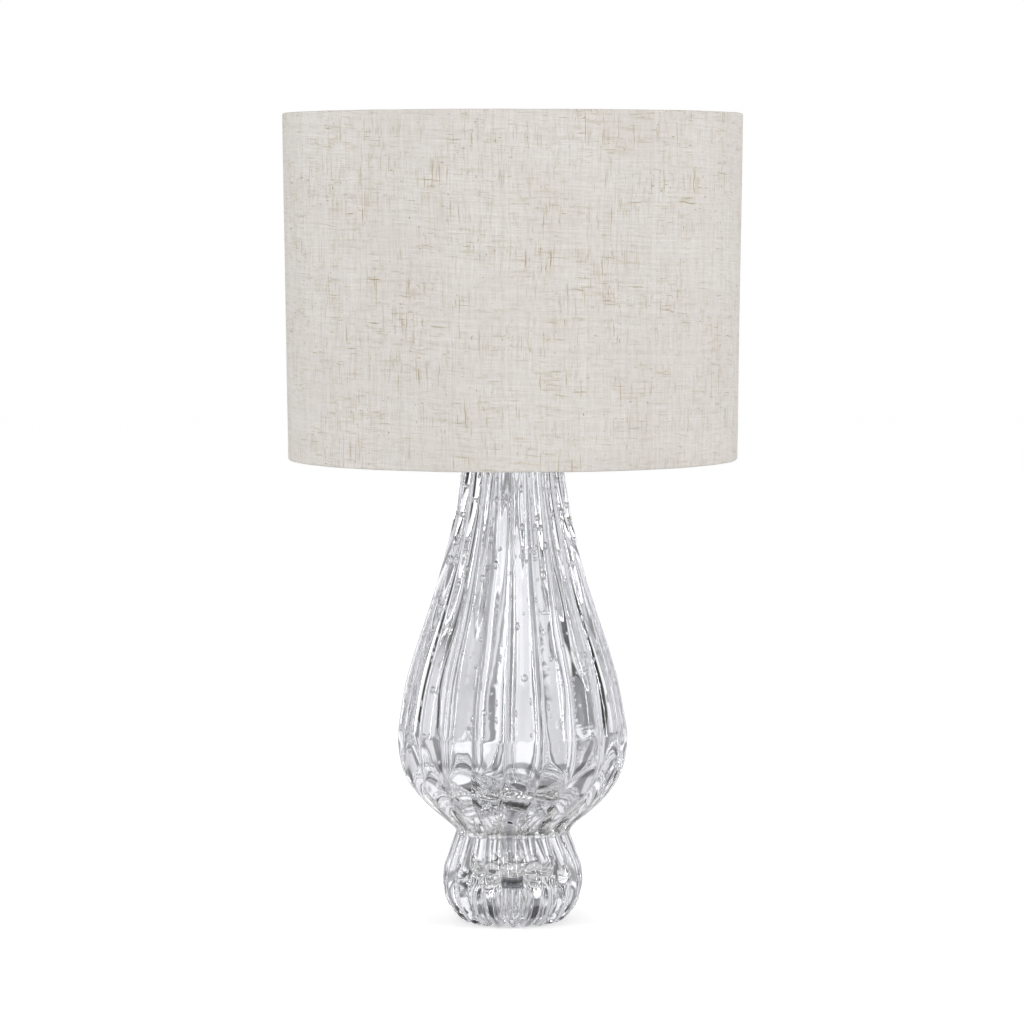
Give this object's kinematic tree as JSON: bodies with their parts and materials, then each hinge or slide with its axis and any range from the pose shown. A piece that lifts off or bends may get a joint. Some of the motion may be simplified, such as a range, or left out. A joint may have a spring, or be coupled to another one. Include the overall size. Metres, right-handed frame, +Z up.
{
  "type": "table lamp",
  "caption": "Table lamp with a fluted, waisted base of clear blown glass and a tapered drum shade of linen, carried on a harp above a turn-key lampholder.",
  "frame": {"origin": "on the surface that the lamp stands on, under the middle of the lamp", "axes": "+Z up along the lamp's axis, -Y towards the front, +X to the right seen from the front"},
  "size_m": [0.3999, 0.4, 0.706],
  "materials": {
    "clear_glass": "clear, fire-polished, with seed bubbles",
    "grey_rubber": "matte",
    "zinc_steel": "bright zinc plate",
    "satin_nickel": "satin nickel plate",
    "black_plastic": "moulded, semi-gloss",
    "card_insulation": "plain",
    "white_porcelain": "glazed",
    "brass_contact": "bright",
    "bulb_cap_metal": "rolled",
    "opal_glass": "opal white, smooth",
    "linen": "oatmeal linen weave with slubs",
    "white_liner": "matte",
    "white_wire": "white powder coat"
  },
  "bodies": {
    "root": {"glass_base": "clear_glass", "glass_foot": "clear_glass", "foot_seal": "grey_rubber", "foot_washer": "zinc_steel", "foot_nut": "zinc_steel", "threaded_rod": "zinc_steel", "neck_gasket": "grey_rubber", "neck_cap": "satin_nickel", "neck_coupling": "satin_nickel", "inlet_bush": "black_plastic", "upper_nipple": "zinc_steel", "harp_saddle": "satin_nickel", "saddle_nut": "zinc_steel", "socket_cap": "satin_nickel", "socket_shell": "satin_nickel", "socket_insulator": "card_insulation", "switch_block": "white_porcelain", "terminal_screws": "zinc_steel", "screw_shell": "brass_contact", "centre_contact": "brass_contact"},
    "switch_key": {"key_stem": "satin_nickel", "key_paddle": "black_plastic"},
    "bulb": {"bulb_envelope": "opal_glass", "bulb_cap": "bulb_cap_metal", "bulb_insulator": "black_plastic", "bulb_contact": "brass_contact"},
    "harp": {"harp_bow": "satin_nickel", "harp_stud": "satin_nickel"},
    "sleeve_left": {"harp_sleeve_left": "satin_nickel"},
    "sleeve_right": {"harp_sleeve_right": "satin_nickel"},
    "shade": {"shade_cover": "linen", "shade_liner": "white_liner", "shade_top_ring": "white_wire", "shade_bottom_ring": "white_wire", "shade_spider": "white_wire"},
    "finial": {"finial": "satin_nickel"}
  },
  "joints": [
    {"name": "switch_turn", "type": "hinge", "parent": "root", "child": "switch_key", "pos_m": [0, -0.034, 0.5068], "axis": [0, -1, 0], "continuous": true},
    {"name": "bulb_out", "type": "slide", "parent": "root", "child": "bulb", "axis": [0, 0, 1], "range_m": [0, 0.03]},
    {"name": "harp_lift", "type": "slide", "parent": "root", "child": "harp", "axis": [0, 0, 1], "range_m": [0, 0.04]},
    {"name": "sleeve_left_slide", "type": "slide", "parent": "harp", "child": "sleeve_left", "axis": [0, 0, 1], "range_m": [0, 0.01]},
    {"name": "sleeve_right_slide", "type": "slide", "parent": "harp", "child": "sleeve_right", "axis": [0, 0, 1], "range_m": [0, 0.01]},
    {"name": "shade_lift", "type": "slide", "parent": "harp", "child": "shade", "axis": [0, 0, 1], "range_m": [0, 0.3]},
    {"name": "finial_lift", "type": "slide", "parent": "shade", "child": "finial", "axis": [0, 0, 1], "range_m": [0, 0.03]}
  ]
}
